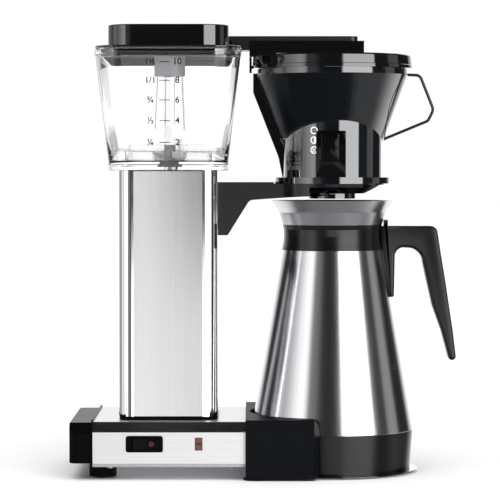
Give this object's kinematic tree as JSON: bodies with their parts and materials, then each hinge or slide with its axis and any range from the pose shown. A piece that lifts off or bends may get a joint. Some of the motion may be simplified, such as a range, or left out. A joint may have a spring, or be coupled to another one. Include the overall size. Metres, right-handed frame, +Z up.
{
  "type": "drip coffee maker",
  "caption": "Free-standing drip coffee maker: metal base and tower with a clear water tank, outlet arm, slide-out filter basket with drip stop, and steel carafe.",
  "frame": {"origin": "centre of the bounding box in plan, at the plane the feet rest on", "axes": "+X from the water tank to the carafe, +Y to the back, +Z up"},
  "size_m": [0.3276, 0.164, 0.3806],
  "materials": {
    "satin_metal": "satin",
    "plate_steel": "satin",
    "gloss_black": "gloss",
    "grained_black": "fine grain",
    "matte_black": "matte",
    "basket_black": "matte cone, gloss lower body",
    "handle_black": "satin",
    "black_rubber": "matte",
    "grey_rubber": "matte",
    "red_rubber": "matte",
    "screw_steel": "satin",
    "white_plastic": "matte",
    "amber_lens": "gloss",
    "red_lamp": "gloss",
    "polished_metal": "polished",
    "brushed_panel": "vertical brush",
    "copper": "drawn copper",
    "hose_silicone": "matte",
    "clear_glass": "clear",
    "clear_plastic": "clear",
    "frosted_plastic": "frosted",
    "mark_print": "print",
    "wire_dark": "satin",
    "brushed_steel": "brushed",
    "polished_steel": "polished"
  },
  "bodies": {
    "machine": {"base_housing": "satin_metal", "base_plate": "plate_steel", "left_end_cap": "gloss_black", "carafe_holder": "grained_black", "carafe_tray": "gloss_black", "rubber_feet": "black_rubber", "tray_pads": "black_rubber", "base_screws": "screw_steel", "cord_gland": "matte_black", "terminal_block": "white_plastic", "switch_body": "matte_black", "switch_bezel": "gloss_black", "indicator_lens": "amber_lens", "tower_shell": "polished_metal", "front_panel": "brushed_panel", "tower_gasket": "black_rubber", "tower_deck": "matte_black", "rear_cover": "brushed_panel", "rear_cover_screws": "screw_steel", "boiler_tube": "copper", "heater_jacket": "plate_steel", "thermostat": "plate_steel", "thermal_fuse": "white_plastic", "inlet_hose": "hose_silicone", "check_valve_housing": "white_plastic", "riser_tube": "clear_glass", "riser_sleeve": "clear_plastic", "sleeve_collar": "frosted_plastic", "water_tank": "clear_plastic", "level_marks": "mark_print", "tank_seal": "black_rubber", "tank_outlet": "white_plastic", "tank_nut": "white_plastic", "float_pin": "matte_black", "basket_bracket": "matte_black", "bracket_screws": "screw_steel"},
    "outlet_arm": {"outlet_arm": "matte_black", "shower_plate": "matte_black", "riser_seal": "grey_rubber"},
    "tank_lid": {"tank_lid": "gloss_black"},
    "filter_basket": {"filter_basket": "basket_black", "basket_handle": "wire_dark", "lever_guide": "gloss_black", "valve_seat": "grey_rubber"},
    "basket_lid": {"basket_lid": "gloss_black"},
    "drip_lever": {"drip_lever": "gloss_black"},
    "drip_valve": {"drip_valve": "matte_black"},
    "carafe": {"carafe_shell": "brushed_steel", "carafe_liner": "brushed_steel", "carafe_rim": "polished_steel", "carafe_collar": "matte_black", "carafe_base": "matte_black", "carafe_handle": "handle_black"},
    "brew_lid": {"brew_lid": "matte_black", "lid_gasket": "grey_rubber"},
    "rocker": {"rocker": "gloss_black", "rocker_lamp": "red_lamp"},
    "tank_float": {"tank_float": "matte_black"},
    "check_ball": {"check_ball": "red_rubber"}
  },
  "joints": [
    {"name": "outlet_arm_lift", "type": "slide", "parent": "machine", "child": "outlet_arm", "axis": [0, 0, 1], "range_m": [0, 0.12]},
    {"name": "tank_lid_lift", "type": "slide", "parent": "outlet_arm", "child": "tank_lid", "axis": [0, 0, 1], "range_m": [0, 0.1]},
    {"name": "filter_basket_slide", "type": "slide", "parent": "machine", "child": "filter_basket", "axis": [1, 0, 0], "range_m": [0, 0.15]},
    {"name": "basket_lid_lift", "type": "slide", "parent": "filter_basket", "child": "basket_lid", "axis": [0, 0, 1], "range_m": [0, 0.06]},
    {"name": "drip_lever_slide", "type": "slide", "parent": "filter_basket", "child": "drip_lever", "axis": [0, 0, -1], "range_m": [0, 0.0164]},
    {"name": "drip_valve_slide", "type": "slide", "parent": "filter_basket", "child": "drip_valve", "axis": [0, 0, -1], "range_m": [0, 0.0041]},
    {"name": "carafe_slide", "type": "slide", "parent": "machine", "child": "carafe", "axis": [1, 0, 0], "range_m": [0, 0.17]},
    {"name": "brew_lid_twist", "type": "hinge", "parent": "carafe", "child": "brew_lid", "pos_m": [0.0578, 0, 0.213], "axis": [0, 0, 1], "range_deg": [0, 60]},
    {"name": "rocker_tilt", "type": "hinge", "parent": "machine", "child": "rocker", "pos_m": [-0.1008, -0.0745, 0.0304], "axis": [0, 0, -1], "range_deg": [0, 24]},
    {"name": "tank_float_lift", "type": "slide", "parent": "machine", "child": "tank_float", "axis": [0, 0, 1], "range_m": [0, 0.0105]},
    {"name": "check_ball_lift", "type": "slide", "parent": "machine", "child": "check_ball", "axis": [0, 0, 1], "range_m": [0, 0.0027]}
  ],
  "couplings": [
    {"joint": "basket_lid_lift", "follows": "outlet_arm_lift", "ratio": 0.5},
    {"joint": "drip_valve_slide", "follows": "drip_lever_slide", "ratio": 0.25}
  ]
}
